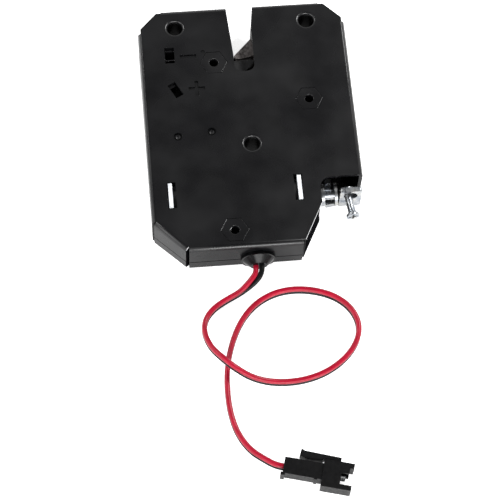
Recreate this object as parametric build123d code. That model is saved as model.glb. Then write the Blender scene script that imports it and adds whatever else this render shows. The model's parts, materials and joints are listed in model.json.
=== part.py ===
from build123d import *
import math
import os

# Electric cabinet door strike: a flat pressed-steel case that holds a spring hook,
# a solenoid, a release lever and a twin lead with a two-way connector.
# Millimetres. Origin: axis of the centre mounting hole, at the back face.
# +X to the lock's right, +Y towards the striker slot, +Z out of the front cover.

# ---- driving dimensions -------------------------------------------------
WIDTH = 59.1
HEIGHT = 75.1
DEPTH = 13.0
SHEET = 1.0
BELOW = 31.25                     # centre hole to the bottom edge
LEFT = -29.4
RIGHT = LEFT + WIDTH
BOTTOM = -BELOW
TOP = HEIGHT - BELOW

BEND = 1.3                        # outside radius of a folded edge
SPLIT_Z = 4.6                     # the two shells meet here
SPLIT_GAP = 0.35
STEP = 0.8                        # the plate stands back this far where no side is folded
CORNER = 7.0                      # a folded side ends this far from a top corner
CHAMFER = 6.4                     # leg of the two top chamfers
LOW_LEFT_X = -20.4                # lower left chamfer, on the bottom edge
LOW_LEFT_Y = -22.5                # lower left chamfer, on the left edge
FOOT_X = 11.4                     # lower right chamfer, on the bottom edge
NOTCH_X = 17.6
NOTCH_FOOT_Y = -19.3
NOTCH_TOP_Y = -11.8
NOTCH_R = 3.0

SLOT_FLOOR_Y = 22.8
SLOT_HALF = 2.85
SLOT_MOUTH_HALF = 3.9
SLOT_CORNER = 2.2

MOUNT_X = 18.8
MOUNT_Y = 38.0
MOUNT_R = 2.1
SLEEVE_R = 3.0
CORNER_SLEEVE_R = 2.7
LIP_R = 2.9
LIP_DEPTH = 0.6

POST_R = 2.5
POST_BORE = 1.25
POST_HEX = 6.8                    # across flats
LEVER_AT = (17.2, 12.8)
EJECTOR_AT = (-8.6, 26.1)
LOWER_AT = (-7.0, -25.9)

COIL_Y = -14.3                    # solenoid axis
COIL_Z = 6.5
FRAME_X0 = -24.4
FRAME_X1 = 12.6
PLATE = 1.3
TAB_Y = 7.6
PLUNGER_R = 3.2
NECK_R = 1.5
NECK_X0 = 18.9
NECK_X1 = 21.7
PLUNGER_TIP = 2.5                 # inner end of the plunger at rest, its farthest out

HOOK_Z0 = 5.0
HOOK_Z1 = 8.0
LINK_AT = (9.0, 35.5)             # pin that joins the hook and the lever
LINK_R = 1.0

TORSION_WIRE = 0.8

LEVER_Z0 = 1.25
LEVER_T = 1.8
LEVER_TILT = 6.53                 # the lever rests this far from its mid-travel place
FORK_ARM = 27.19                  # pivot to the plunger's axis

GROMMET_AT = (-0.95, 5.3)         # x and z of the rubber grommet
GROMMET_R = 4.8
NOSE_Y = BOTTOM - 2.6

WIRE_D = 1.5
PITCH = 1.65                      # centre to centre of the two bonded wires
RED_Z = 2.42

CONNECTOR_AT = (0.52, -90.7)      # middle of the connector's rear face
CONNECTOR_TURN = -14.9
CONNECTOR_H = 5.0


# ---- small helpers ------------------------------------------------------
def prism(points, z0, z1):
    """Straight-sided solid on a closed outline."""
    return extrude(Plane.XY.offset(z0) * make_face(Polyline(*points, close=True)), z1 - z0)


def disc(x, y, r, z0, z1):
    return Pos(x, y, (z0 + z1) / 2) * Cylinder(r, z1 - z0)


def ring(x, y, r_out, r_in, z0, z1):
    return disc(x, y, r_out, z0, z1) - disc(x, y, r_in, z0 - 1, z1 + 1)


def block(x0, x1, y0, y1, z0, z1):
    centre = Pos((x0 + x1) / 2, (y0 + y1) / 2, (z0 + z1) / 2)
    return centre * Box(abs(x1 - x0), abs(y1 - y0), abs(z1 - z0))


def rod_x(x0, x1, r, y=COIL_Y, z=COIL_Z):
    """Round bar along X."""
    return Pos((x0 + x1) / 2, y, z) * Rot(0, 90, 0) * Cylinder(r, abs(x1 - x0))


def rod_y(x, y0, y1, r, z):
    """Round bar along Y."""
    return Pos(x, (y0 + y1) / 2, z) * Rot(90, 0, 0) * Cylinder(r, abs(y1 - y0))


def tube(points, diameter, radii):
    """Round bar along straight runs joined by tangent arcs."""
    path = FilletPolyline(*points, radius=radii)
    start = Plane(origin=path @ 0, z_dir=path % 0)
    return sweep(start * Circle(diameter / 2), path=path)


def largest_radii(points, share=0.45):
    """For each corner, the arc that its two runs leave room for."""
    radii = []
    for before, here, after in zip(points, points[1:], points[2:]):
        a = Vector(*here) - Vector(*before)
        b = Vector(*after) - Vector(*here)
        turn = math.radians(a.get_angle(b))
        radii.append(share * min(a.length, b.length) / math.tan(turn / 2))
    return radii


# ---- the two folded shells ---------------------------------------------
def inset_point(before, here, after, inset):
    """Where two sides of an outline meet once both are moved in by inset."""
    a = (Vector(*here) - Vector(*before)).normalized()
    b = (Vector(*after) - Vector(*here)).normalized()
    inward = Vector(-a.Y, a.X) + Vector(-b.Y, b.X)
    grow = inset / math.cos(math.radians(a.get_angle(b)) / 2)
    point = Vector(*here) + inward.normalized() * grow
    return (point.X, point.Y)


def top_corner(side, back):
    """Plate outline round a top corner whose side edge is at x = side.

    The plate stands back by back where it isn't folded. The points are for a right-hand
    corner; the left-hand one is the mirror image of them.
    """
    chamfer = side + TOP - CHAMFER
    if back == BEND:
        chamfer -= BEND * math.sqrt(2)
    return [
        (side - BEND, TOP - CORNER),
        (side - back, TOP - CORNER),
        (side - back, chamfer - (side - back)),
        (chamfer - (TOP - back), TOP - back),
        (side - CORNER, TOP - back),
        (side - CORNER, TOP - BEND),
    ]


def plate(z0, back):
    """Flat face of a shell, up to where its folded sides begin."""
    right_corner = top_corner(RIGHT, back)
    left_corner = [(-x, y) for x, y in reversed(top_corner(-LEFT, back))]
    low_left = (LEFT, LOW_LEFT_Y)
    low_mid = (LOW_LEFT_X, BOTTOM)
    slope = (NOTCH_X - FOOT_X) / (NOTCH_FOOT_Y - BOTTOM)
    points = [
        inset_point(low_left, low_mid, (FOOT_X, BOTTOM), BEND),
        (FOOT_X + slope * BEND, BOTTOM + BEND),
        (NOTCH_X, NOTCH_FOOT_Y),
        (NOTCH_X, NOTCH_TOP_Y),
        (RIGHT - BEND, NOTCH_TOP_Y),
        *right_corner,
        *left_corner,
        inset_point((LEFT, 0), low_left, low_mid, BEND),
    ]
    outline = [p for i, p in enumerate(points) if p != points[i - 1]]
    face = make_face(Polyline(*outline, close=True))
    inner_corner = face.vertices().sort_by_distance((NOTCH_X, NOTCH_TOP_Y, 0))[0]
    face = fillet(inner_corner, NOTCH_R)
    return extrude(Plane.XY.offset(z0) * face, SHEET)


def folded_side(start, end, z_plate, z_tip):
    """A side wall folded from the plate, its outer face on the line from start to end.

    The outside is on the right hand, looking from start to end. The plate's outer face
    is at z_plate and the wall's free edge at z_tip.
    """
    up = 1 if z_plate > z_tip else -1
    inner = BEND - SHEET
    diag = math.sqrt(0.5)

    def at(radius, out, rise):
        return (-BEND + radius * out, z_plate + up * (radius * rise - BEND))

    profile = [
        ThreePointArc(at(BEND, 0, 1), at(BEND, diag, diag), at(BEND, 1, 0)),
        Line(at(BEND, 1, 0), (0, z_tip)),
        Line((0, z_tip), (-SHEET, z_tip)),
        Line((-SHEET, z_tip), at(inner, 1, 0)),
        ThreePointArc(at(inner, 1, 0), at(inner, diag, diag), at(inner, 0, 1)),
        Line(at(inner, 0, 1), at(BEND, 0, 1)),
    ]
    along = Vector(end[0] - start[0], end[1] - start[1], 0)
    outward = Vector(along.Y, -along.X, 0)
    place = Plane(origin=(end[0], end[1], 0), x_dir=outward, z_dir=-along)
    return extrude(place * make_face(profile), along.length)


def along_line(start, end, trim):
    """The line from start to end, shortened by trim at both ends."""
    step = (Vector(*end) - Vector(*start)).normalized() * trim
    a = Vector(*start) + step
    b = Vector(*end) - step
    return (a.X, a.Y), (b.X, b.Y)


def folded_sides(z_plate, z_tip):
    """The side walls that both shells have."""
    lower_left = along_line((LEFT, LOW_LEFT_Y), (LOW_LEFT_X, BOTTOM), 0.6)
    sides = [
        ((LOW_LEFT_X + 0.5, BOTTOM), (FOOT_X, BOTTOM)),
        ((RIGHT, NOTCH_TOP_Y), (RIGHT, TOP - CORNER)),
        ((RIGHT - CORNER, TOP), (LEFT + CORNER, TOP)),
        ((LEFT, TOP - CORNER), (LEFT, LOW_LEFT_Y + 0.5)),
        lower_left,
    ]
    return [folded_side(start, end, z_plate, z_tip) for start, end in sides]


def striker_slot():
    """Cutter for the slot that the striker drops into."""
    floor = SLOT_FLOOR_Y
    half = SLOT_HALF
    corner = SLOT_CORNER
    bulge = corner * (1 - math.sqrt(0.5))
    edges = [
        Line((-SLOT_MOUTH_HALF, TOP + 1), (-half, 28.2)),
        Line((-half, 28.2), (-half, floor + corner)),
        ThreePointArc((-half, floor + corner), (bulge - half, floor + bulge), (corner - half, floor)),
        Line((corner - half, floor), (half - corner, floor)),
        ThreePointArc((half - corner, floor), (half - bulge, floor + bulge), (half, floor + corner)),
        Line((half, floor + corner), (half, 35.6)),
        Line((half, 35.6), (SLOT_MOUTH_HALF, TOP + 1)),
        Line((SLOT_MOUTH_HALF, TOP + 1), (-SLOT_MOUTH_HALF, TOP + 1)),
    ]
    return extrude(Plane.XY.offset(-1) * make_face(edges), DEPTH + 2)


def hexagon(x, y, across, z0, z1):
    radius = across / math.sqrt(3)
    outline = Plane.XY.offset(z0) * Pos(x, y) * RegularPolygon(radius, 6)
    return extrude(outline, z1 - z0)


def lipped_hole(x, y):
    """Cutter for a mounting hole whose edge is drawn in."""
    mid = 1 - math.sqrt(0.5)
    wide = LIP_R - MOUNT_R
    profile = [
        Line((0, DEPTH + 1), (LIP_R, DEPTH + 1)),
        Line((LIP_R, DEPTH + 1), (LIP_R, DEPTH)),
        ThreePointArc((LIP_R, DEPTH), (MOUNT_R + wide * mid, DEPTH - LIP_DEPTH * mid),
                      (MOUNT_R, DEPTH - LIP_DEPTH)),
        Line((MOUNT_R, DEPTH - LIP_DEPTH), (MOUNT_R, DEPTH - 2)),
        Line((MOUNT_R, DEPTH - 2), (0, DEPTH - 2)),
        Line((0, DEPTH - 2), (0, DEPTH + 1)),
    ]
    return Pos(x, y, 0) * revolve(Plane.XZ * make_face(profile), Axis.Z)


def window(x, y, wide, tall, turn):
    """Cutter for one of the spring windows."""
    return Pos(x, y, DEPTH) * Rot(0, 0, turn) * Box(wide, tall, 3)


def window_tab(x, y, wide, tall, turn):
    """The tab at a window's upper end, pressed inward, that a spring leg leans on."""
    tab = Pos(0, tall / 2 - SHEET / 2 + 0.1, 0) * Box(wide - 0.5, SHEET, 4.0)
    return Pos(x, y, DEPTH - SHEET - 1.9) * Rot(0, 0, turn) * tab


def stamped_mark(x, y, plus):
    """Cutter for a shallow minus or plus sign."""
    depth = 0.4
    size = 4.6
    stroke = 1.0
    mark = Box(size, stroke, depth)
    if plus:
        mark += Box(stroke, size, depth)
    return Pos(x, y, DEPTH - depth / 2 + 0.001) * mark


def case_holes(z0, z1):
    """Cutters that both shells share: the slot, the coil tabs and the grommet's hole."""
    tabs = [
        block(x, x + 2.4, COIL_Y - TAB_Y / 2 - 0.1, COIL_Y + TAB_Y / 2 + 0.1, z0, z1)
        for x in (FRAME_X0 - 0.2, FRAME_X1 - 2.2)
    ]
    grommet = rod_y(GROMMET_AT[0], BOTTOM - 1, BOTTOM + 2, GROMMET_R - 0.9, GROMMET_AT[1])
    return [striker_slot(), grommet, *tabs]


WINDOWS = [(-20.9, 29.2, 2.7, 5.0, 0), (-20.0, 18.1, 2.4, 4.7, 28.2)]
SWITCH_PINS = [(-20.4, 3.5), (-10.9, 4.4)]        # riveted ends of two pins
MOUNT_HOLES = [(-MOUNT_X, MOUNT_Y), (MOUNT_X, MOUNT_Y), (0, 0)]
POSTS = {"lever_post": LEVER_AT, "ejector_post": EJECTOR_AT, "lower_post": LOWER_AT}


def cover_shell():
    shell = plate(DEPTH - SHEET, STEP)
    for side in folded_sides(DEPTH, SPLIT_Z + SPLIT_GAP):
        shell += side
    cutters = case_holes(SPLIT_Z, DEPTH + 1)
    cutters += [lipped_hole(x, y) for x, y in MOUNT_HOLES]
    cutters += [hexagon(x, y, POST_HEX, DEPTH - 2, DEPTH + 1) for x, y in POSTS.values()]
    cutters += [window(*spec) for spec in WINDOWS]
    cutters += [disc(x, y, 1.2, DEPTH - 0.6, DEPTH + 1) for x, y in SWITCH_PINS]
    cutters += [disc(-11.4, 29.7, 0.6, DEPTH - 0.3, DEPTH + 1)]
    cutters += [stamped_mark(-15.7, 28.6, False), stamped_mark(-14.0, 18.2, True)]
    for cutter in cutters:
        shell -= cutter
    for spec in WINDOWS:
        shell += window_tab(*spec)
    for x, y in SWITCH_PINS:
        shell += disc(x, y, 0.8, DEPTH - 0.8, DEPTH - 0.35)
        shell += Pos(x, y, DEPTH - 0.2) * Cone(0.8, 0.35, 0.3)
    return shell


def screw_seat(x, y, gap):
    """Cone of a countersunk screw head, opening at the back face; gap is room round the head."""
    head = 1.0
    return Pos(x, y, head / 2) * Cone(2.7 + gap, 1.7 + gap, head)


def base_shell():
    shell = plate(0, BEND)
    for side in folded_sides(0, SPLIT_Z):
        shell += side
    wall_top = DEPTH - SHEET - 0.1
    top_left = ((LEFT + CHAMFER, TOP), (LEFT, TOP - CHAMFER))
    top_right = ((RIGHT, TOP - CHAMFER), (RIGHT - CHAMFER, TOP))
    foot = ((FOOT_X, BOTTOM), (NOTCH_X, NOTCH_FOOT_Y))
    for corner, trim in ((top_left, 1.8), (top_right, 1.8)):
        shell += folded_side(*along_line(*corner, trim), 0, wall_top)
    start, end = along_line(*foot, 1.5)
    shell += folded_side(start, end, 0, wall_top)
    for cutter in case_holes(-1, SPLIT_Z + 1):
        shell -= cutter
    for x, y in MOUNT_HOLES:
        shell -= disc(x, y, MOUNT_R, -1, 2)
    for x, y in POSTS.values():
        shell -= screw_seat(x, y, 0.05)
    return shell


# ---- posts, sleeves and screws -----------------------------------------
def post(at):
    """Hexagon-headed standoff, pressed into the cover; a lever turns on it."""
    body = disc(*at, POST_R, SHEET, DEPTH - SHEET)
    body += hexagon(*at, POST_HEX - 0.14, DEPTH - SHEET, DEPTH - 0.08)
    return body - disc(*at, POST_BORE, 0, DEPTH + 1)


def sleeve(x, y, radius):
    return ring(x, y, radius, MOUNT_R, SHEET, DEPTH - SHEET)


def case_screw(x, y):
    """Countersunk screw, driven from the back into a post."""
    body = screw_seat(x, y, 0)
    body += disc(x, y, POST_BORE - 0.03, 0.9, 8.0)
    for turn in (0, 90):
        body -= Pos(x, y, 0.2) * Rot(0, 0, turn) * Box(2.6, 0.55, 0.6)
    return body


# ---- hook and ejector ---------------------------------------------------
def hook():
    """Sloped hook that closes the slot; it turns on the centre sleeve."""
    link_x, link_y = LINK_AT
    head_r = 2.6
    hub_r = 5.6
    outline = [
        Line((-2.4, 30.5), (5.0, 38.0)),
        ThreePointArc((5.0, 38.0), (5.9, 38.6), (7.0, 38.5)),
        Line((7.0, 38.5), (link_x + 0.5, link_y + head_r)),
        ThreePointArc((link_x + 0.5, link_y + head_r), (link_x + 2.2, link_y + 1.4),
                      (link_x + head_r, link_y - 0.4)),
        Line((link_x + head_r, link_y - 0.4), (9.6, 20.0)),
        ThreePointArc((9.6, 20.0), (8.0, 9.0), (4.4, -3.4)),
        ThreePointArc((4.4, -3.4), (0, -hub_r), (-hub_r, 0)),
        ThreePointArc((-hub_r, 0), (-3.6, 4.4), (0.5, 9.5)),
        ThreePointArc((0.5, 9.5), (3.2, 13.5), (4.0, 18.0)),
        Line((4.0, 18.0), (4.1, 28.6)),
        ThreePointArc((4.1, 28.6), (4.0, 30.0), (3.0, 30.35)),
        ThreePointArc((3.0, 30.35), (0.6, 29.65), (-2.0, 29.5)),
        Line((-2.0, 29.5), (-2.4, 30.5)),
    ]
    body = extrude(Plane.XY.offset(HOOK_Z0) * make_face(outline), HOOK_Z1 - HOOK_Z0)
    body += disc(5.6, 12.8, 0.9, HOOK_Z1 - 0.1, DEPTH - SHEET - 0.3)
    body -= disc(0, 0, SLEEVE_R + 0.05, 0, DEPTH)
    return body - disc(link_x, link_y, LINK_R + 0.01, 0, DEPTH)


def link_pin():
    """Rivet in the hook's head; it reaches back through the lever's slot."""
    x, y = LINK_AT
    shank = disc(x, y, LINK_R, LEVER_Z0, HOOK_Z1)
    return shank + disc(x, y, 1.9, HOOK_Z1, HOOK_Z1 + 0.7)


def ejector_arm():
    """Rounded finger in the slot's floor that pushes the striker out again."""
    x, y = EJECTOR_AT
    peg = (x - 4.0, y - 5.2)
    outline = [
        Line((x, y + 3.8), (-3.2, 28.75)),
        Line((-3.2, 28.75), (2.7, 28.9)),
        ThreePointArc((2.7, 28.9), (3.1, 28.7), (3.05, 28.2)),
        ThreePointArc((3.05, 28.2), (1.2, 26.0), (-2.4, 24.4)),
        Line((-2.4, 24.4), (x + 0.8, y - 3.7)),
        Line((x + 0.8, y - 3.7), (peg[0] + 0.7, peg[1] - 1.4)),
        ThreePointArc((peg[0] + 0.7, peg[1] - 1.4), (peg[0] - 1.2, peg[1] - 1.0),
                      (peg[0] - 1.3, peg[1] + 0.9)),
        Line((peg[0] - 1.3, peg[1] + 0.9), (x - 3.8, y)),
        ThreePointArc((x - 3.8, y), (x - 2.7, y + 2.7), (x, y + 3.8)),
    ]
    body = extrude(Plane.XY.offset(4.0) * make_face(outline), 4.0)
    body += disc(x, y, 3.4, 7.9, DEPTH - SHEET - 0.2)
    body += disc(*peg, 0.8, 7.9, DEPTH - SHEET - 0.3)
    return body - disc(x, y, POST_R + 0.05, 0, DEPTH)


# ---- release lever ------------------------------------------------------
def from_mid_travel(shape):
    """Turn a shape drawn about the lever's pivot, at mid-travel, to its resting place."""
    return Pos(LEVER_AT[0], LEVER_AT[1], 0) * Rot(0, 0, LEVER_TILT) * shape


PULL_TAB = (2.8, 8.9, -29.3, -27.85)      # x0, x1, y0, y1 about the pivot
TAB_TOP = 10.3
TAB_HOLE = (5.8, 7.5, 1.95)               # x, z and radius of the hole, wider than the pin
PIN_X = 5.1
PIN_Z = 7.4
PIN_R = 1.1


def release_lever():
    """Bell crank: slotted upper arm, fork on the plunger's neck and the pull tab."""
    top = LEVER_Z0 + LEVER_T
    slot_high = (-5.62, 23.7)
    slot_low = (-4.78, 20.1)
    arm = [
        Line((-4.15, 0.6), (-8.7, 23.3)),
        ThreePointArc((-8.7, 23.3), (-6.1, 26.8), (-2.6, 24.2)),
        Line((-2.6, 24.2), (4.15, 0.6)),
        ThreePointArc((4.15, 0.6), (4.1, -0.9), (3.9, -1.5)),
        Line((3.9, -1.5), (5.0, -20.5)),
        ThreePointArc((5.0, -20.5), (5.6, -23.2), (7.3, -25.2)),
        Line((7.3, -25.2), (PULL_TAB[1], -26.2)),
        Line((PULL_TAB[1], -26.2), (PULL_TAB[1], -29.5)),
        Line((PULL_TAB[1], -29.5), (PULL_TAB[0], -28.8)),
        Line((PULL_TAB[0], -28.8), (-0.9, -28.8)),
        Line((-0.9, -28.8), (-0.9, -18.0)),
        Line((-0.9, -18.0), (-3.9, -1.5)),
        ThreePointArc((-3.9, -1.5), (-4.2, -0.4), (-4.15, 0.6)),
    ]
    body = extrude(Plane.XY.offset(LEVER_Z0) * make_face(arm), LEVER_T)
    body -= disc(0, 0, POST_R + 0.05, 0, DEPTH)
    link = SlotCenterToCenter(math.dist(slot_high, slot_low), 2 * LINK_R + 0.5)
    middle = ((slot_high[0] + slot_low[0]) / 2, (slot_high[1] + slot_low[1]) / 2)
    lean = math.degrees(math.atan2(slot_high[1] - slot_low[1], slot_high[0] - slot_low[0]))
    body -= extrude(Pos(*middle, 0) * Rot(0, 0, lean) * link, DEPTH)
    sleeve_place = Vector(MOUNT_X - LEVER_AT[0], MOUNT_Y - LEVER_AT[1]).rotate(Axis.Z, LEVER_TILT)
    body -= disc(sleeve_place.X, sleeve_place.Y, CORNER_SLEEVE_R + 0.25, 0, DEPTH)
    body += block(-LEVER_T / 2, LEVER_T / 2, NECK_R + 0.25 - FORK_ARM, 3.1 - FORK_ARM, top, 9.6)
    x0, x1, y0, y1 = PULL_TAB
    tab = block(x0, x1, y0, y1, LEVER_Z0, TAB_TOP)
    tab = fillet(tab.edges().filter_by(Axis.Y).group_by(Axis.Z)[-1], 0.6)
    hole_x, hole_z, hole_r = TAB_HOLE
    tab -= rod_y(hole_x, y0 - 1, y1 + 1, hole_r, hole_z)
    body += tab.rotate(Axis((PIN_X, (y0 + y1) / 2, 0), (0, 0, 1)), -LEVER_TILT)
    return from_mid_travel(body)


def release_pin():
    """Pull pin that hangs in the lever's tab: a round head behind it, a flared one in front."""
    head_y = -34.2
    tip_y = -35.6
    behind = PULL_TAB[3] + 0.32
    pin = rod_y(PIN_X, head_y, behind + 0.1, PIN_R, PIN_Z)
    pin += rod_y(PIN_X, behind, behind + 0.5, 2.0, PIN_Z)
    flare = Pos(PIN_X, head_y - 0.35, PIN_Z) * Rot(90, 0, 0) * Cone(PIN_R, 1.85, 0.7)
    head = rod_y(PIN_X, tip_y, head_y - 0.7, 1.85, PIN_Z)
    pin += flare + head
    for turn in (0, 90):
        pin -= Pos(PIN_X, tip_y, PIN_Z) * Rot(0, turn, 0) * Box(2.4, 1.2, 0.6)
    return from_mid_travel(pin)


# ---- solenoid -----------------------------------------------------------
def solenoid_frame():
    """U-shaped iron frame with a locating tab in each slot of the case."""
    low = SHEET + 0.05
    high = DEPTH - SHEET - 0.05
    y_open = COIL_Y - 6.0
    y_web = COIL_Y + 5.5
    frame = block(FRAME_X0, FRAME_X1, y_web, y_web + PLATE, low, high)
    for x in (FRAME_X0, FRAME_X1 - PLATE):
        frame += block(x, x + PLATE, y_open, y_web + PLATE, low, high)
        frame += block(x + 0.1, x + PLATE - 0.1, COIL_Y - TAB_Y / 2, COIL_Y + TAB_Y / 2,
                       0.2, DEPTH - 0.3)
    frame -= rod_x(FRAME_X1 - PLATE - 1, FRAME_X1 + 1, PLUNGER_R + 0.08)
    return frame - rod_x(FRAME_X0 - 1, FRAME_X0 + PLATE + 1, 2.0)


BOBBIN_X0 = FRAME_X0 + PLATE + 0.05
BOBBIN_X1 = FRAME_X1 - PLATE - 0.05
CORE_FACE = -4.0
COIL_R = 5.0


def bobbin():
    body = rod_x(BOBBIN_X0, BOBBIN_X1, 4.0)
    for x in (BOBBIN_X0, BOBBIN_X1 - 0.9):
        body += rod_x(x, x + 0.9, 5.35)
    return body - rod_x(BOBBIN_X0 - 1, BOBBIN_X1 + 1, PLUNGER_R + 0.08)


def coil_winding():
    x0 = BOBBIN_X0 + 0.95
    x1 = BOBBIN_X1 - 0.95
    return rod_x(x0, x1, COIL_R) - rod_x(x0 - 1, x1 + 1, 4.02)


def coil_tape():
    x0 = BOBBIN_X0 + 1.2
    x1 = BOBBIN_X1 - 1.2
    return rod_x(x0, x1, COIL_R + 0.2) - rod_x(x0 - 1, x1 + 1, COIL_R + 0.02)


def fixed_core():
    """Iron stop inside the bobbin, riveted through the frame's left plate."""
    core = rod_x(BOBBIN_X0, CORE_FACE, PLUNGER_R)
    core += rod_x(FRAME_X0, BOBBIN_X0, 1.97)
    return core - rod_x(CORE_FACE - 2.5, CORE_FACE + 1, 1.9)


def plunger():
    """Sliding iron core with a turned neck and collar for the lever's fork."""
    body = rod_x(PLUNGER_TIP, NECK_X0, PLUNGER_R)
    body += rod_x(NECK_X0, NECK_X1, NECK_R)
    body += rod_x(NECK_X1, NECK_X1 + 0.8, PLUNGER_R)
    return body - rod_x(PLUNGER_TIP - 1, PLUNGER_TIP + 9.0, 1.9)


# ---- springs ------------------------------------------------------------
def torsion_spring(at, radius, wire, z0, z1, angle, turn, first_leg, last_leg):
    """Spring wound clockwise from angle through turn degrees, with a straight leg at each end."""
    helix = Helix(pitch=(z1 - z0) * 360 / turn, height=z1 - z0, radius=radius, lefthand=True)
    first = Line((helix @ 0) - (helix % 0) * first_leg, helix @ 0)
    last = Line(helix @ 1, (helix @ 1) + (helix % 1) * last_leg)
    path = Wire([first, helix, last])
    start = Plane(origin=first @ 0, z_dir=first % 0)
    spring = sweep(start * Circle(wire / 2), path=path)
    return Pos(at[0], at[1], z0) * Rot(0, 0, angle) * spring


def plunger_spring():
    """Light compression spring between the fixed core and the plunger's blind bore."""
    x0 = CORE_FACE - 2.2
    length = PLUNGER_TIP + 8.6 - x0
    path = Helix(pitch=length / 11, height=length, radius=1.45)
    start = Plane(origin=path @ 0, z_dir=path % 0)
    spring = sweep(start * Circle(0.2), path=path)
    return Pos(x0, COIL_Y, COIL_Z) * Rot(0, 90, 0) * spring


def hook_spring():
    """Torsion spring on the centre sleeve: one leg on the coil frame, one on the hook's peg."""
    return torsion_spring((0, 0), 3.75, TORSION_WIRE, 8.9, 10.9, 239.5, 824.5, 7.5, 13.0)


def ejector_spring():
    """Torsion spring on the ejector's hub, its fixed leg in a window of the cover."""
    return torsion_spring(EJECTOR_AT, 3.95, TORSION_WIRE, 8.9, 11.2, 90, 900, 13.6, 4.8)


# ---- grommet, lead and connector ---------------------------------------
def grommet():
    """Rubber bush in the split between the shells, with a tapered nose for the lead."""
    x, z = GROMMET_AT
    body = rod_y(x, BOTTOM - 0.9, BOTTOM - 0.02, GROMMET_R, z)
    body += rod_y(x, BOTTOM - 0.1, BOTTOM + SHEET + 0.1, GROMMET_R - 0.95, z)
    body += rod_y(x, BOTTOM + SHEET + 0.03, BOTTOM + SHEET + 0.9, GROMMET_R - 0.6, z)
    nose = BOTTOM - 0.9 - NOSE_Y
    body += Pos(x, NOSE_Y + nose / 2, z) * Rot(-90, 0, 0) * Cone(2.3, 4.3, nose)
    for side in (-1, 1):
        body -= rod_y(x + side * PITCH / 2, NOSE_Y - 1, BOTTOM + 3, WIRE_D / 2 + 0.03, z)
    return body


def inner_wire(side):
    """Lead inside the case, from the coil's flange out to the grommet's nose."""
    x, z = GROMMET_AT
    x += side * PITCH / 2
    start = (x, COIL_Y - 5.5, 3.0)
    points = [start, (x, COIL_Y - 7.5, 3.2), (x, BOTTOM + 5.5, z), (x, NOSE_Y, z)]
    return tube(points, WIRE_D, [2.3, 4.0])


# The two wires leave the grommet side by side and turn to stand one on the other.
# From there they share one route: x, y, and how far the pair is lifted off the floor.
LEAD_IN = {
    -1: [(-1.78, NOSE_Y, 5.3), (-1.8, -35.7, 5.3), (-3.4, -37.6, 4.9)],
    1: [(-0.12, NOSE_Y, 5.3), (-0.15, -35.8, 5.3), (-2.2, -38.1, 3.9)],
}
ROUTE = [
    (-6.4, -40.3, 1.2),
    (-10.4, -41.9, 0.3),
    (-14.3, -44.1, 0),
    (-16.9, -47.4, 0),
    (-17.4, -51.6, 0.9),
    (-16.0, -56.4, 2.9),
    (-13.6, -59.9, 4.6),
    (-10.3, -63.1, 4.5),
    (-5.6, -65.8, 2.3),
    (0.0, -66.9, 0.5),
    (6.6, -67.0, 0),
    (13.2, -65.6, 0),
    (18.9, -62.5, 0),
    (23.2, -58.2, 0),
    (25.3, -52.9, 0),
    (24.0, -47.6, 0),
    (20.2, -43.5, 0),
    (14.7, -41.0, 0),
    (8.2, -40.0, 0),
    (2.0, -41.0, 0),
    (-3.4, -44.1, 0),
    (-7.4, -48.9, 0),
    (-10.1, -54.6, 0),
    (-11.8, -60.6, 0),
    (-12.5, -67.0, 0),
    (-12.3, -73.8, 0),
    (-10.9, -80.2, 0),
    (-7.8, -85.4, 0.2),
    (-3.6, -88.7, 0.7),
]


def lead(side):
    """One wire of the bonded pair: side -1 is the upper red one, +1 the lower black one."""
    height = RED_Z if side < 0 else RED_Z - PITCH
    turn = math.radians(CONNECTOR_TURN)
    end_x, end_y = CONNECTOR_AT
    port_z = CONNECTOR_H / 2 - side * PITCH / 2
    straight = 2.0
    points = list(LEAD_IN[side])
    points += [(px, py, height + lift) for px, py, lift in ROUTE]
    points.append((end_x - straight * math.cos(turn), end_y - straight * math.sin(turn), port_z))
    points.append((end_x, end_y, port_z))
    radii = largest_radii(points)
    print("lead", side, "arc radii", [round(r, 1) for r in radii])
    wire = tube(points, WIRE_D, radii)
    length = wire.volume / (math.pi * WIRE_D ** 2 / 4)
    print("lead", side, "length by volume", round(length, 1))
    return wire


def at_connector(shape):
    """Place a shape drawn with its rear face on x = 0 and its latch on +Y."""
    return Pos(CONNECTOR_AT[0], CONNECTOR_AT[1], 0) * Rot(0, 0, CONNECTOR_TURN) * shape


LATCH_AT = (12.3, 3.75)


def connector_housing():
    """Two-way pin housing lying on its side, with an open-ended cage at the mating end."""
    height = CONNECTOR_H
    body = block(0, 10.6, -2.25, 2.25, 0.35, height - 0.35)
    body += block(-0.5, 0.6, -2.8, -2.0, 0.35, height - 0.35)
    body += block(8.4, 9.2, -2.55, 2.25, 0.35, height - 0.35)
    cage = block(10.4, 15.3, -4.1, 3.4, 0, height)
    cage += block(15.2, 18.5, -4.1, -2.7, 0, height)
    cage += block(15.2, 18.5, 2.0, 3.4, 0, height)
    cage += block(15.2, 17.4, 0.5, 2.1, 0, height)
    body += cage
    body -= block(12.0, 20, -2.7, 2.0, 0.8, height - 0.8)
    body += block(LATCH_AT[0] - 0.3, LATCH_AT[0] + 0.3, 3.3, LATCH_AT[1] - 0.1, 1.0, height - 1.0)
    for side in (-1, 1):
        body -= rod_x(-1, 5, WIRE_D / 2 + 0.03, y=0, z=height / 2 - side * PITCH / 2)
        body -= rod_x(9, 14, 0.42, y=-0.4, z=height / 2 - side * 1.25)
    return at_connector(body)


def connector_latch():
    """Thumb lever that rocks on the cage and frees the mating half."""
    outline = [
        (3.7, 3.5), (5.6, 2.9), (9.9, 3.3), (10.3, 3.75), (14.8, 3.6),
        (14.8, 4.75), (5.0, 5.0), (3.9, 5.5),
    ]
    body = prism(outline, 0.9, CONNECTOR_H - 0.9)
    return at_connector(body)


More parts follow.
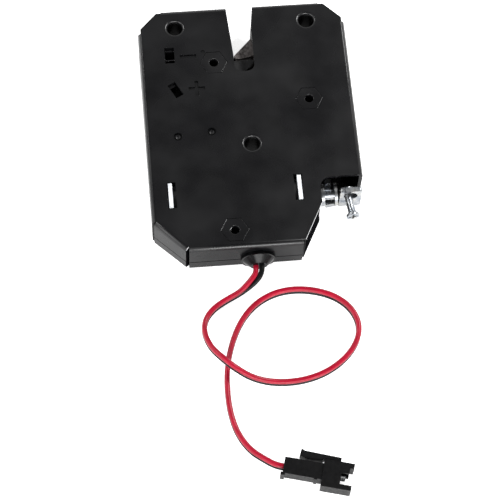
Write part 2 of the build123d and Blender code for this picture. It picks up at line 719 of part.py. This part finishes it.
def connector_pins():
    """The two plated contacts, with their ends in the cage."""
    pins = [
        rod_x(9.0, 16.6, 0.4, y=-0.4, z=CONNECTOR_H / 2 - side * 1.25) for side in (-1, 1)
    ]
    return at_connector(Compound(children=pins))


# ---- every piece, one file each ----------------------------------------
def spacers():
    """Loose rings that keep each lever at its own height."""
    return {
        "hook_spacer": ring(0, 0, 4.4, SLEEVE_R + 0.05, SHEET, HOOK_Z0 - 0.1),
        "ejector_spacer": ring(*EJECTOR_AT, 3.6, POST_R + 0.05, SHEET, 3.9),
        "lever_spacer": ring(*LEVER_AT, 3.4, POST_R + 0.05, LEVER_Z0 + LEVER_T + 0.1,
                             DEPTH - SHEET - 0.05),
    }


def pieces():
    parts = {
        "cover_shell": cover_shell(),
        "base_shell": base_shell(),
        "centre_sleeve": sleeve(0, 0, SLEEVE_R),
        "corner_sleeves": Compound(
            children=[sleeve(x, y, CORNER_SLEEVE_R) for x, y in MOUNT_HOLES[:2]]
        ),
        "case_screws": Compound(children=[case_screw(*at) for at in POSTS.values()]),
        "hook": hook(),
        "hook_spring": hook_spring(),
        "link_pin": link_pin(),
        "ejector_arm": ejector_arm(),
        "ejector_spring": ejector_spring(),
        "release_lever": release_lever(),
        "release_pin": release_pin(),
        "solenoid_frame": solenoid_frame(),
        "bobbin": bobbin(),
        "coil_winding": coil_winding(),
        "coil_tape": coil_tape(),
        "fixed_core": fixed_core(),
        "plunger": plunger(),
        "plunger_spring": plunger_spring(),
        "grommet": grommet(),
        "inner_red_wire": inner_wire(-1),
        "inner_black_wire": inner_wire(1),
        "red_wire": lead(-1),
        "black_wire": lead(1),
        "connector_housing": connector_housing(),
        "connector_latch": connector_latch(),
        "connector_pins": connector_pins(),
    }
    parts.update({name: post(at) for name, at in POSTS.items()})
    parts.update(spacers())
    return parts


def main():
    os.makedirs("parts", exist_ok=True)
    for name, shape in pieces().items():
        export_step(shape, f"parts/{name}.step")


main()
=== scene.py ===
# %% [markdown]
# # An electric cabinet lock, dressed for its portrait
# The hard parts of this lock come from a CAD model that is already packed, and this
# notebook never moves or reshapes them. What it adds is what CAD leaves out: rounded
# sheet-metal edges, paint, zinc plate, rubber, moulded plastic, and a soft twin lead
# that lies on the table. Everything is in metres, in the frame of the CAD model: the
# origin is the centre mounting hole at the back face, +X is to the lock's right, +Y
# goes to the striker slot and +Z comes out of the front cover.

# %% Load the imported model
import json
import math
import bpy
from mathutils import Matrix, Vector


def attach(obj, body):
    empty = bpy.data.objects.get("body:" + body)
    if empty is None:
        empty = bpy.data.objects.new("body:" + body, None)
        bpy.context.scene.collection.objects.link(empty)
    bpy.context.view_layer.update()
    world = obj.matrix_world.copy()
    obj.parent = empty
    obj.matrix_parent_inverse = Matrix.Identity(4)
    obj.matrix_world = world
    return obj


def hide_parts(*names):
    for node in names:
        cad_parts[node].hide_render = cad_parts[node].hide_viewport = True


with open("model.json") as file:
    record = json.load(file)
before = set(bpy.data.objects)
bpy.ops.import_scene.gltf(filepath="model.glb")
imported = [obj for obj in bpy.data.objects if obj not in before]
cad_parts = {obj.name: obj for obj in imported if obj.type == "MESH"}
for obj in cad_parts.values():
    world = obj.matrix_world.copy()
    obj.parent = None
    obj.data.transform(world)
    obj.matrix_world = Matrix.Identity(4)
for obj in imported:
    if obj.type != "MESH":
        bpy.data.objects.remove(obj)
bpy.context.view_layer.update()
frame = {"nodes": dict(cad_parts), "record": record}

MM = 0.001
node = frame["nodes"]

# %% [markdown]
# ## The camera
# A picture of a small part is taken from well back with a long lens, so that its sides
# stay nearly parallel. The camera is placed by two angles round a target point on the
# table, a distance, and a small roll, which is how a tripod head would be set. Writing
# it this way, and not as a matrix, keeps every number something one can reason about.

# %% Camera
CAMERA_AZIMUTH = math.radians(-9.128)
CAMERA_HEIGHT = math.radians(66.471)
CAMERA_ROLL = math.radians(4.397)
CAMERA_DISTANCE = 551.8 * MM
CAMERA_TARGET = Vector((-2.61, -26.65, 0.0)) * MM
LENS_MM = 142.73
SENSOR_MM = 36.0
CLIP_NEAR = 0.01
CLIP_FAR = 10.0


def aim_camera():
    back = Vector((
        math.cos(CAMERA_HEIGHT) * math.sin(CAMERA_AZIMUTH),
        -math.cos(CAMERA_HEIGHT) * math.cos(CAMERA_AZIMUTH),
        math.sin(CAMERA_HEIGHT),
    ))
    right = Vector((math.cos(CAMERA_AZIMUTH), math.sin(CAMERA_AZIMUTH), 0.0))
    up = back.cross(right)
    rolled_right = right * math.cos(CAMERA_ROLL) + up * math.sin(CAMERA_ROLL)
    rolled_up = up * math.cos(CAMERA_ROLL) - right * math.sin(CAMERA_ROLL)
    lens = bpy.data.cameras.new("portrait_camera")
    lens.lens = LENS_MM
    lens.sensor_width = SENSOR_MM
    lens.clip_start = CLIP_NEAR
    lens.clip_end = CLIP_FAR
    camera = bpy.data.objects.new("portrait_camera", lens)
    bpy.context.scene.collection.objects.link(camera)
    turn = Matrix((rolled_right, rolled_up, back)).transposed().to_4x4()
    stand = CAMERA_TARGET + back * CAMERA_DISTANCE
    camera.matrix_world = Matrix.Translation(stand) @ turn
    bpy.context.scene.camera = camera
    return camera


camera = aim_camera()
print("camera at", [round(v, 3) for v in camera.location])

# %% [markdown]
# ## The floor and the light
# The picture is shown with the plain Standard view, which keeps a white floor white.
# A black object shows only what it reflects, so the room matters more than the lamps.
# The world is a pale, even tent that fades nearly to black straight overhead, where a
# black face would otherwise turn grey. A small key lamp at the upper right and a weaker
# one at the upper left draw the highlights on the wires, the grommet and the zinc parts.
# A wide fill lamp and a long strip in front light the walls that face the viewer. The
# floor is a light table: a white sheet that glows itself, which fills the shadows.

# %% Floor
FLOOR_SIZE = 6.0
FLOOR_DROP = 0.02 * MM
PAPER_WHITE = 0.92
PAPER_ROUGHNESS = 0.9
PAPER_SHEEN = 0.1
TABLE_GLOW = 0.75


def plain_floor():
    mesh = bpy.data.meshes.new("floor")
    half = FLOOR_SIZE / 2
    mesh.from_pydata(
        [(-half, -half, 0), (half, -half, 0), (half, half, 0), (-half, half, 0)],
        [], [(0, 1, 2, 3)],
    )
    floor = bpy.data.objects.new("floor", mesh)
    floor.location.z = -FLOOR_DROP
    bpy.context.scene.collection.objects.link(floor)
    paper = bpy.data.materials.new("white_paper")
    paper.use_nodes = True
    shader = paper.node_tree.nodes["Principled BSDF"]
    shader.inputs["Base Color"].default_value = (*[PAPER_WHITE] * 3, 1)
    shader.inputs["Roughness"].default_value = PAPER_ROUGHNESS
    shader.inputs["Specular IOR Level"].default_value = PAPER_SHEEN
    shader.inputs["Emission Color"].default_value = (1, 1, 1, 1)
    shader.inputs["Emission Strength"].default_value = TABLE_GLOW
    mesh.materials.append(paper)
    return floor


floor = plain_floor()
print("floor at", round(floor.location.z / MM, 3), "mm")

# %% The tent
TENT_LIGHT = (1.0, 1.0, 1.0)
TENT_TOP = (0.06, 0.06, 0.0624)
FADE_FROM = 0.52
FADE_TO = 0.96

bpy.context.scene.view_settings.view_transform = "Standard"


def light_tent():
    world = bpy.data.worlds.new("light_tent")
    bpy.context.scene.world = world
    world.use_nodes = True
    tree = world.node_tree
    background = tree.nodes["Background"]
    where = tree.nodes.new("ShaderNodeTexCoord")
    split = tree.nodes.new("ShaderNodeSeparateXYZ")
    fade = tree.nodes.new("ShaderNodeValToRGB")
    fade.color_ramp.interpolation = "EASE"
    fade.color_ramp.elements[0].position = FADE_FROM
    fade.color_ramp.elements[0].color = (*TENT_LIGHT, 1)
    fade.color_ramp.elements[1].position = FADE_TO
    fade.color_ramp.elements[1].color = (*TENT_TOP, 1)
    tree.links.new(where.outputs["Generated"], split.inputs[0])
    tree.links.new(split.outputs["Z"], fade.inputs[0])
    tree.links.new(fade.outputs["Color"], background.inputs["Color"])


light_tent()
print("tent, dark from", FADE_TO, "of the way up")

# %% The lamps
LAMPS = {  # name: where it stands, where it aims, its two sides in metres, its watts
    "key_softbox": ((0.55, 0.35, 0.75), (0, -0.02, 0), (0.2, 0.2), 6.0),
    "left_softbox": ((-0.55, 0.45, 0.70), (0, -0.02, 0), (0.15, 0.15), 2.5),
    "fill_softbox": ((-0.75, -0.35, 0.55), (0, -0.02, 0), (0.7, 0.5), 4.0),
    "front_strip": ((0.15, -1.1, 0.35), (0, -0.03, 0), (1.2, 0.3), 16.0),
}


def soft_lamp(name, spot, aim, size, watts):
    data = bpy.data.lights.new(name, "AREA")
    data.shape = "RECTANGLE"
    data.size, data.size_y = size
    data.energy = watts
    lamp = bpy.data.objects.new(name, data)
    lamp.location = spot
    lamp.rotation_mode = "QUATERNION"
    towards = Vector(aim) - Vector(spot)
    lamp.rotation_quaternion = towards.to_track_quat("-Z", "Y")
    bpy.context.scene.collection.objects.link(lamp)


for name, (spot, aim, size, watts) in LAMPS.items():
    soft_lamp(name, spot, aim, size, watts)
print("soft lamps:", len(LAMPS))

# %% [markdown]
# ## A small kit for finishes
# Every finish below is a Principled shader with a few noise textures behind it.
# The textures read Object coordinates, which here are the metres of the CAD frame, so
# a scale of 1 / size gives grain of a known size on every part. Fixed values are set on
# the shader's own sockets; only what varies over the surface is linked to it.

# %% Finish kit
NOISE_LOW = 0.3
NOISE_HIGH = 0.7


def new_finish(name, colour, roughness, metallic=0.0, **sockets):
    material = bpy.data.materials.new(name)
    material.use_nodes = True
    shader = material.node_tree.nodes["Principled BSDF"]
    shader.inputs["Base Color"].default_value = (*colour, 1)
    shader.inputs["Roughness"].default_value = roughness
    shader.inputs["Metallic"].default_value = metallic
    for socket, value in sockets.items():
        shader.inputs[socket.replace("_", " ")].default_value = value
    return material


def grain(material, size, detail=3.0, stretch=(1, 1, 1), roughness=0.55):
    """A noise texture whose blobs are about size metres across."""
    tree = material.node_tree
    where = tree.nodes.new("ShaderNodeTexCoord")
    scale = tree.nodes.new("ShaderNodeMapping")
    scale.inputs["Scale"].default_value = [s / size for s in stretch]
    noise = tree.nodes.new("ShaderNodeTexNoise")
    noise.inputs["Scale"].default_value = 1.0
    noise.inputs["Detail"].default_value = detail
    noise.inputs["Roughness"].default_value = roughness
    tree.links.new(where.outputs["Object"], scale.inputs["Vector"])
    tree.links.new(scale.outputs["Vector"], noise.inputs["Vector"])
    return noise.outputs["Fac"]


def ramp(material, source, stops):
    """Turn a grey value into colours; stops is a list of (position, colour)."""
    tree = material.node_tree
    made = tree.nodes.new("ShaderNodeValToRGB")
    while len(made.color_ramp.elements) < len(stops):
        made.color_ramp.elements.new(0.5)
    for element, (position, colour) in zip(made.color_ramp.elements, stops):
        element.position = position
        element.color = (*colour, 1)
    tree.links.new(source, made.inputs["Fac"])
    return made.outputs["Color"]


def feed(material, source, socket):
    """Link a varying value to one of the shader's own sockets."""
    shader = material.node_tree.nodes["Principled BSDF"]
    material.node_tree.links.new(source, shader.inputs[socket])


def vary_roughness(material, source, low, high):
    """Spread the middle of a noise over a range of roughness."""
    tree = material.node_tree
    spread = tree.nodes.new("ShaderNodeMapRange")
    spread.inputs["From Min"].default_value = NOISE_LOW
    spread.inputs["From Max"].default_value = NOISE_HIGH
    spread.inputs["To Min"].default_value = low
    spread.inputs["To Max"].default_value = high
    tree.links.new(source, spread.inputs["Value"])
    feed(material, spread.outputs["Result"], "Roughness")


def add_bump(material, source, height, strength=1.0):
    """Relief of about height metres."""
    tree = material.node_tree
    bump = tree.nodes.new("ShaderNodeBump")
    bump.inputs["Strength"].default_value = strength
    bump.inputs["Distance"].default_value = height
    tree.links.new(source, bump.inputs["Height"])
    feed(material, bump.outputs["Normal"], "Normal")


print("finish kit ready")

# %% [markdown]
# ## Black powder coat
# The two shells, and the hexagon heads that were pressed in before painting, wear one
# coat of satin black. Cured powder is not quite flat: it has an orange peel of about a
# millimetre and a finer grit on top, and its gloss drifts a little over the panel. Where
# the painted sheet was sheared at the lower right, a thin pale line is painted into the
# colour: partly the bare metal of the cut, partly a painted highlight. A mask made from
# where the surface lies and which way it faces finds that line, and it stays put because
# the shells never move. The sleeves of the three mounting holes are painted as well, but
# little light gets down them, so their bores get a darker, nearly sheenless black, which
# is painted shade.

# %% Reading the surface
def facing(material, direction):
    """How squarely the surface faces a direction: 1 straight at it, 0 side on."""
    tree = material.node_tree
    surface = tree.nodes.new("ShaderNodeNewGeometry")
    dot = tree.nodes.new("ShaderNodeVectorMath")
    dot.operation = "DOT_PRODUCT"
    dot.inputs[1].default_value = direction
    tree.links.new(surface.outputs["Normal"], dot.inputs[0])
    return dot.outputs["Value"]


def place_along(material, axis):
    """The X, Y or Z place of the surface, in metres."""
    tree = material.node_tree
    surface = tree.nodes.new("ShaderNodeNewGeometry")
    split = tree.nodes.new("ShaderNodeSeparateXYZ")
    tree.links.new(surface.outputs["Position"], split.inputs[0])
    return split.outputs[axis]


def maths(material, operation, *terms):
    """One step of arithmetic on numbers or on other nodes' results."""
    tree = material.node_tree
    made = tree.nodes.new("ShaderNodeMath")
    made.operation = operation
    for term, socket in zip(terms, made.inputs):
        if isinstance(term, (int, float)):
            socket.default_value = term
        else:
            tree.links.new(term, socket)
    return made.outputs["Value"]


print("surface readings ready")

# %% Where the bare metal and a painted highlight show
FOOT_FACING = (0.888, -0.460, 0.0)
WALL_END_FACING = (1, 0, 0)
FOOT_MATCH = 0.93
WALL_END_MATCH = 0.96
COVER_RIM_Z = 11.9 * MM
FOOT_TOP_Y = -19.0 * MM
WALL_END_TOP_Y = -30.0 * MM


def bare_edge_and_highlight(material):
    """1 where the cover was sheared and a pale line of bare metal and painted highlight
    goes: its foot chamfer, and its bottom wall's end.
    """
    on_foot = maths(material, "GREATER_THAN", facing(material, FOOT_FACING), FOOT_MATCH)
    on_rim = maths(material, "GREATER_THAN", place_along(material, "Z"), COVER_RIM_Z)
    below = maths(material, "LESS_THAN", place_along(material, "Y"), FOOT_TOP_Y)
    chamfer = maths(material, "MULTIPLY", on_foot, on_rim)
    chamfer = maths(material, "MULTIPLY", chamfer, below)
    on_end = maths(material, "GREATER_THAN",
                   facing(material, WALL_END_FACING), WALL_END_MATCH)
    at_foot = maths(material, "LESS_THAN", place_along(material, "Y"), WALL_END_TOP_Y)
    wall_end = maths(material, "MULTIPLY", on_end, at_foot)
    return maths(material, "MAXIMUM", chamfer, wall_end)


def blend(material, factor, below, above_colour):
    """Mix a colour over another where factor is 1."""
    tree = material.node_tree
    mixer = tree.nodes.new("ShaderNodeMix")
    mixer.data_type = "RGBA"
    colour_inputs = [socket for socket in mixer.inputs if socket.type == "RGBA"]
    colour_inputs[1].default_value = (*above_colour, 1)
    tree.links.new(factor, mixer.inputs["Factor"])
    tree.links.new(below, colour_inputs[0])
    return [socket for socket in mixer.outputs if socket.type == "RGBA"][0]


print("cut edge mask ready")

# %% Sheen that falls off on walls
UPRIGHT = 0.10
NEARLY_LEVEL = 0.45


def sheen_by_slope(material, upright, level):
    """Less sheen on upright walls, where the powder lies dry; none on the foot's."""
    tree = material.node_tree
    spread = tree.nodes.new("ShaderNodeMapRange")
    spread.inputs["From Min"].default_value = UPRIGHT
    spread.inputs["From Max"].default_value = NEARLY_LEVEL
    spread.inputs["To Min"].default_value = upright
    spread.inputs["To Max"].default_value = level
    tree.links.new(facing(material, (0, 0, 1)), spread.inputs["Value"])
    elsewhere = maths(material, "LESS_THAN", facing(material, FOOT_FACING), FOOT_MATCH)
    feed(material, maths(material, "MULTIPLY", spread.outputs["Result"], elsewhere),
         "Specular IOR Level")


print("sheen by slope ready")

# %% Powder coat
COVER_SHEEN = 0.42
WALL_SHEEN = 0.07
# The pale grey below is the sheared edge's colour: partly bare steel, partly a painted
# highlight.
BARE_STEEL_AND_HIGHLIGHT = (0.55, 0.55, 0.56)

powder_coat = new_finish("black_powder_coat", (0.003, 0.003, 0.0036), 0.28,
                         Specular_IOR_Level=COVER_SHEEN)
sheen_by_slope(powder_coat, WALL_SHEEN, COVER_SHEEN)
vary_roughness(powder_coat, grain(powder_coat, 14 * MM, detail=2), 0.22, 0.34)
paint = ramp(powder_coat, grain(powder_coat, 5 * MM, detail=4), [
    (0.3, (0.0022, 0.0022, 0.0026)), (0.7, (0.0040, 0.0040, 0.0046))])
# The sheared edges get that pale grey over the paint: bare metal with a painted
# highlight.
painted = blend(powder_coat, bare_edge_and_highlight(powder_coat), paint, BARE_STEEL_AND_HIGHLIGHT)
feed(powder_coat, painted, "Base Color")
orange_peel = grain(powder_coat, 0.9 * MM, detail=4, roughness=0.6)
add_bump(powder_coat, orange_peel, 0.012 * MM, 0.5)

# The bores' darker, nearly sheenless black is painted shade: little light gets down them.
bore_painted_shade = new_finish("bore_painted_shade", (0.002, 0.002, 0.002), 0.3,
                        Specular_IOR_Level=0.03)
vary_roughness(bore_painted_shade, grain(bore_painted_shade, 2 * MM), 0.25, 0.40)
print("powder coat, and the black of the bores")

# %% [markdown]
# ## Zinc plate
# The lever, the pull pin, the plunger, the spacers and the case screws are bright zinc
# plate. Its clear passivation gives faint blue and straw clouds, and rolling and stamping
# leave fine lengthwise lines, so one stretched noise drives the roughness. The solenoid
# frame is punched from thicker plate: its tab ends, seen in the two slots of the cover,
# are sheared faces, which are duller than a rolled one. The frame's near-white colour is
# partly those sheared faces and partly a painted reflection that keeps the tab ends
# bright.

# %% Zinc plate
zinc_plate = new_finish("zinc_plate", (0.34, 0.35, 0.36), 0.28, metallic=1.0)
feed(zinc_plate, ramp(zinc_plate, grain(zinc_plate, 3 * MM, detail=3), [
    (0.30, (0.16, 0.18, 0.21)), (0.52, (0.34, 0.35, 0.36)), (0.72, (0.42, 0.41, 0.37))]),
    "Base Color")
lines = grain(zinc_plate, 0.5 * MM, detail=4, stretch=(1, 0.12, 1))
vary_roughness(zinc_plate, lines, 0.20, 0.42)
add_bump(zinc_plate, lines, 0.006 * MM, 0.4)

# The frame's near-white colour is partly its sheared faces and partly a painted
# reflection, which keeps the tab ends bright under the dark tent top.
sheared_zinc_and_reflection = new_finish("sheared_zinc_and_reflection", (0.78, 0.80, 0.82), 0.5, metallic=0.35)
shear_marks = grain(sheared_zinc_and_reflection, 0.5 * MM, stretch=(1, 0.3, 1))
feed(sheared_zinc_and_reflection, ramp(sheared_zinc_and_reflection, shear_marks, [
    (0.30, (0.60, 0.63, 0.66)), (0.55, (0.82, 0.84, 0.86))]), "Base Color")
vary_roughness(sheared_zinc_and_reflection, grain(sheared_zinc_and_reflection, 0.3 * MM, detail=4), 0.40, 0.60)
add_bump(sheared_zinc_and_reflection, grain(sheared_zinc_and_reflection, 0.2 * MM, detail=3), 0.01 * MM, 0.5)
print("zinc plate")

# %% [markdown]
# ## Dark hook steel
# The hook is bare sintered or hardened steel: dark, brownish and mottled, with a satin
# shine. A few colours on one noise give the mottling; a second, finer noise gives the
# grainy surface that the punched part shows where it catches the light.

# %% Hook steel
hook_steel = new_finish("dark_steel", (0.16, 0.145, 0.14), 0.42, metallic=0.85)
mottling = grain(hook_steel, 0.9 * MM, detail=5, roughness=0.7)
feed(hook_steel, ramp(hook_steel, mottling, [
    (0.32, (0.060, 0.054, 0.052)), (0.50, (0.150, 0.135, 0.130)),
    (0.70, (0.27, 0.25, 0.245))]), "Base Color")
vary_roughness(hook_steel, grain(hook_steel, 0.5 * MM, detail=4), 0.34, 0.58)
punched_grain = grain(hook_steel, 0.30 * MM, detail=4, roughness=0.7)
add_bump(hook_steel, punched_grain, 0.02 * MM, 0.6)
print("hook steel")

# %% [markdown]
# ## Spring wire, copper and tin
# Three metals that show little or not at all from outside. They still get their real
# finish, because someone will open the case: drawn wire with lengthwise lines, enamelled
# copper whose turns are fine ridges round the coil, and bright tin on the contacts.

# %% Other metals
spring_wire = new_finish("spring_steel", (0.42, 0.42, 0.43), 0.33, metallic=1.0)
vary_roughness(spring_wire, grain(spring_wire, 0.4 * MM, detail=3), 0.25, 0.42)

ONE_RIDGE = 0.314  # the wave texture repeats once in this length divided by its scale
enamelled_copper = new_finish("copper_winding", (0.62, 0.24, 0.10), 0.3, metallic=0.9)


def wound_turns(material, pitch):
    """Ridges round the coil, one for each turn of wire."""
    tree = material.node_tree
    where = tree.nodes.new("ShaderNodeTexCoord")
    wave = tree.nodes.new("ShaderNodeTexWave")
    wave.bands_direction = "X"
    wave.inputs["Scale"].default_value = ONE_RIDGE / pitch
    wave.inputs["Distortion"].default_value = 0.0
    tree.links.new(where.outputs["Object"], wave.inputs["Vector"])
    return wave.outputs["Fac"]


turns = wound_turns(enamelled_copper, 0.25 * MM)
add_bump(enamelled_copper, turns, 0.08 * MM)
vary_roughness(enamelled_copper, turns, 0.25, 0.40)

tin_plate = new_finish("tin_plate", (0.80, 0.81, 0.82), 0.16, metallic=1.0)
vary_roughness(tin_plate, grain(tin_plate, 0.4 * MM), 0.10, 0.24)
print("spring wire, copper, tin")

# %% [markdown]
# ## Rubber and plastics
# The grommet is soft black rubber, smooth from its mould, so it takes a broad gleam.
# The connector is glass-filled nylon: dark, with a spark-eroded texture a tenth of a
# millimetre across that turns its lit sides grey. The ejector and the bobbin are plain
# black nylon, and the coil is wrapped in black polyester tape.

# %% Rubber and plastics
black_rubber = new_finish("black_rubber", (0.002, 0.002, 0.0024), 0.22,
                          Specular_IOR_Level=0.12)
vary_roughness(black_rubber, grain(black_rubber, 1.4 * MM, detail=3), 0.15, 0.26)
add_bump(black_rubber, grain(black_rubber, 0.5 * MM, detail=3), 0.012 * MM, 0.5)

connector_plastic = new_finish("connector_plastic", (0.0025, 0.0025, 0.003), 0.42,
                               Specular_IOR_Level=0.12)
glass_filling = grain(connector_plastic, 1.1 * MM, detail=4)
feed(connector_plastic, ramp(connector_plastic, glass_filling, [
    (0.3, (0.0018, 0.0018, 0.002)), (0.7, (0.0032, 0.0032, 0.0035))]), "Base Color")
vary_roughness(connector_plastic, grain(connector_plastic, 0.8 * MM, detail=3),
               0.36, 0.52)
spark_texture = grain(connector_plastic, 0.12 * MM, detail=2)
add_bump(connector_plastic, spark_texture, 0.010 * MM, 0.6)

black_nylon = new_finish("black_nylon", (0.010, 0.010, 0.011), 0.40)
vary_roughness(black_nylon, grain(black_nylon, 1.5 * MM, detail=3), 0.34, 0.50)
add_bump(black_nylon, grain(black_nylon, 0.2 * MM, detail=2), 0.010 * MM, 0.5)

polyester_tape = new_finish("coil_tape", (0.012, 0.012, 0.013), 0.22)
tape_streaks = grain(polyester_tape, 2 * MM, stretch=(0.3, 1, 1))
vary_roughness(polyester_tape, tape_streaks, 0.16, 0.32)
print("rubber and plastics")

# %% [markdown]
# ## Wire insulation
# PVC insulation is soft and a little waxy: a strong, even colour under a thin gloss.
# Extrusion leaves slow changes of gloss along the wire, and handling leaves a fine
# dullness, so the roughness wanders on two scales.

# %% Insulation
def pvc(name, colour, dark, sheen):
    """Waxy insulation in one colour, with a darker shade of it in places."""
    material = new_finish(name, colour, 0.30, Specular_IOR_Level=sheen,
                          Coat_Weight=0.06, Coat_Roughness=0.16)
    vary_roughness(material, grain(material, 2.2 * MM, detail=4), 0.26, 0.40)
    feed(material, ramp(material, grain(material, 4 * MM, detail=3), [
        (0.3, dark), (0.65, colour)]), "Base Color")
    add_bump(material, grain(material, 0.35 * MM, detail=3), 0.006 * MM, 0.4)
    return material


red_pvc = pvc("red_insulation", (0.33, 0.002, 0.020), (0.26, 0.002, 0.015),
              sheen=0.22)
black_pvc = pvc("black_insulation", (0.004, 0.004, 0.005), (0.003, 0.003, 0.003),
                sheen=0.1)
print("insulation")

# %% [markdown]
# ## Dress the CAD parts
# The record names a material slot for each node. One table turns slots into finishes,
# and a short one names the parts whose finish differs from their slot's. CAD edges are
# perfectly sharp and real ones never are, so most parts that can be seen also get a Weld
# and a Bevel modifier: a rim of a tenth of a millimetre or so is what makes a folded or
# moulded edge catch the light. Modifiers leave the CAD mesh itself alone.

# %% Finishes by slot
FINISH = {
    "black_paint": powder_coat,
    "black_zinc": powder_coat,
    "zinc_plate": zinc_plate,
    "dark_steel": hook_steel,
    "spring_steel": spring_wire,
    "black_nylon": black_nylon,
    "copper_wire": enamelled_copper,
    "coil_tape": polyester_tape,
    "black_rubber": black_rubber,
    "red_insulation": red_pvc,
    "black_insulation": black_pvc,
    "connector_plastic": connector_plastic,
    "tin_plate": tin_plate,
}
slot_of = {
    part["node"]: part["material_slot"] for part in frame["record"]["subparts"]
}
FINISH_OF_ONE = {
    "solenoid_frame": sheared_zinc_and_reflection,
    # The sleeves get the darker black of the bores, which is painted shade.
    "centre_sleeve": bore_painted_shade,
    "corner_sleeves": bore_painted_shade,
}


def dress(name):
    mesh = node[name].data
    mesh.materials.clear()
    mesh.materials.append(FINISH_OF_ONE.get(name, FINISH[slot_of[name]]))


for name in node:
    dress(name)
print("dressed", len(node), "nodes")

# %% Soften the edges
WELD_REACH = 0.002 * MM
RIM_STEPS = 2
RIM_ANGLE = math.radians(40)
RIM_MM = {
    "cover_shell": 0.14, "base_shell": 0.14, "hook": 0.12, "ejector_arm": 0.15,
    "release_lever": 0.14, "release_pin": 0.10, "solenoid_frame": 0.12,
    "connector_housing": 0.16, "connector_latch": 0.16, "lever_post": 0.16,
    "ejector_post": 0.16, "lower_post": 0.16,
}


def soften(name, width_mm):
    weld = node[name].modifiers.new("weld", "WELD")
    weld.merge_threshold = WELD_REACH
    bevel = node[name].modifiers.new("rim", "BEVEL")
    bevel.width = width_mm * MM
    bevel.segments = RIM_STEPS
    bevel.limit_method = "ANGLE"
    bevel.angle_limit = RIM_ANGLE
    bevel.use_clamp_overlap = True
    bevel.harden_normals = True


for name, width in RIM_MM.items():
    soften(name, width)
print("softened", len(RIM_MM), "nodes")

# %% [markdown]
# ## The twin lead
# Two soft wires, red and black, are bonded side by side. They leave the grommet level
# with each other, turn on edge with red on top, cross over themselves once and end in
# the connector. Each wire is a smooth NURBS curve guided by control points along the CAD
# route, with a round bevel; order 3 keeps the curve close to its points, and the
# endpoint flag makes it start and stop exactly in the grommet and in the plug.

# %% The route, in millimetres
NOSE_Y = -33.85
WIRE_D = 1.5
PITCH = 1.65
RED_Z = 2.42
CONNECTOR_REAR = (0.52, -90.7)
CONNECTOR_TURN = math.radians(-14.9)
CONNECTOR_HEIGHT = 5.0
STRAIGHT_END = 2.0

LEAD_IN = {
    -1: [(-1.78, NOSE_Y, 5.3), (-1.8, -35.7, 5.3), (-3.4, -37.6, 4.9)],
    1: [(-0.12, NOSE_Y, 5.3), (-0.15, -35.8, 5.3), (-2.2, -38.1, 3.9)],
}
ROUTE = [
    (-6.4, -40.3, 1.2), (-10.4, -41.9, 0.3), (-14.3, -44.1, 0), (-16.9, -47.4, 0),
    (-17.4, -51.6, 0.9), (-16.0, -56.4, 2.9), (-13.6, -59.9, 4.6), (-10.3, -63.1, 4.5),
    (-5.6, -65.8, 2.3), (0.0, -66.9, 0.5), (6.6, -67.0, 0), (13.2, -65.6, 0),
    (18.9, -62.5, 0), (23.2, -58.2, 0), (25.3, -52.9, 0), (24.0, -47.6, 0),
    (20.2, -43.5, 0), (14.7, -41.0, 0), (8.2, -40.0, 0), (2.0, -41.0, 0),
    (-3.4, -44.1, 0), (-7.4, -48.9, 0), (-10.1, -54.6, 0), (-11.8, -60.6, 0),
    (-12.5, -67.0, 0), (-12.3, -73.8, 0), (-10.9, -80.2, 0), (-7.8, -85.4, 0.2),
    (-3.6, -88.7, 0.7),
]


def wire_points(side):
    """Control points of one wire in metres: side -1 is red, 1 is black."""
    height = RED_Z if side < 0 else RED_Z - PITCH
    end_x, end_y = CONNECTOR_REAR
    port_z = CONNECTOR_HEIGHT / 2 - side * PITCH / 2
    points = list(LEAD_IN[side])
    points += [(x, y, height + lift) for x, y, lift in ROUTE]
    points.append((end_x - STRAIGHT_END * math.cos(CONNECTOR_TURN),
                   end_y - STRAIGHT_END * math.sin(CONNECTOR_TURN), port_z))
    points.append((end_x, end_y, port_z))
    return [Vector(p) * MM for p in points]


print("route points:", len(wire_points(-1)))

# %% The two wires
CURVE_ORDER = 3
CURVE_STEPS = 10
ROUND_STEPS = 6


def wire(name, side, finish):
    data = bpy.data.curves.new(name, "CURVE")
    data.dimensions = "3D"
    spline = data.splines.new("NURBS")
    points = wire_points(side)
    spline.points.add(len(points) - 1)
    for control, point in zip(spline.points, points):
        control.co = (*point, 1.0)
    spline.order_u = CURVE_ORDER
    spline.use_endpoint_u = True
    spline.resolution_u = CURVE_STEPS
    data.bevel_depth = WIRE_D / 2 * MM
    data.bevel_resolution = ROUND_STEPS
    data.use_fill_caps = True
    data.materials.append(finish)
    made = bpy.data.objects.new(name, data)
    bpy.context.scene.collection.objects.link(made)
    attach(made, "root")
    return made


def curve_length(made):
    """The length of a wire's middle line, measured on a copy without its bevel."""
    data = made.data.copy()
    data.bevel_depth = 0
    bare = bpy.data.objects.new("bare", data)
    bpy.context.scene.collection.objects.link(bare)
    bpy.context.view_layer.update()
    line = bpy.data.meshes.new_from_object(
        bare.evaluated_get(bpy.context.evaluated_depsgraph_get()))
    places = [v.co.copy() for v in line.vertices]
    bpy.data.objects.remove(bare)
    bpy.data.meshes.remove(line)
    return sum((b - a).length for a, b in zip(places, places[1:]))


print("wire maker ready")

red_lead = wire("red_lead", -1, red_pvc)
black_lead = wire("black_lead", 1, black_pvc)
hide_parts("red_wire")
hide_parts("black_wire")
red_length = curve_length(red_lead)
black_length = curve_length(black_lead)
wire_points(-1)[0]
wire_points(1)[0]
print("lead lengths", round(red_length / MM, 1), round(black_length / MM, 1), "mm")
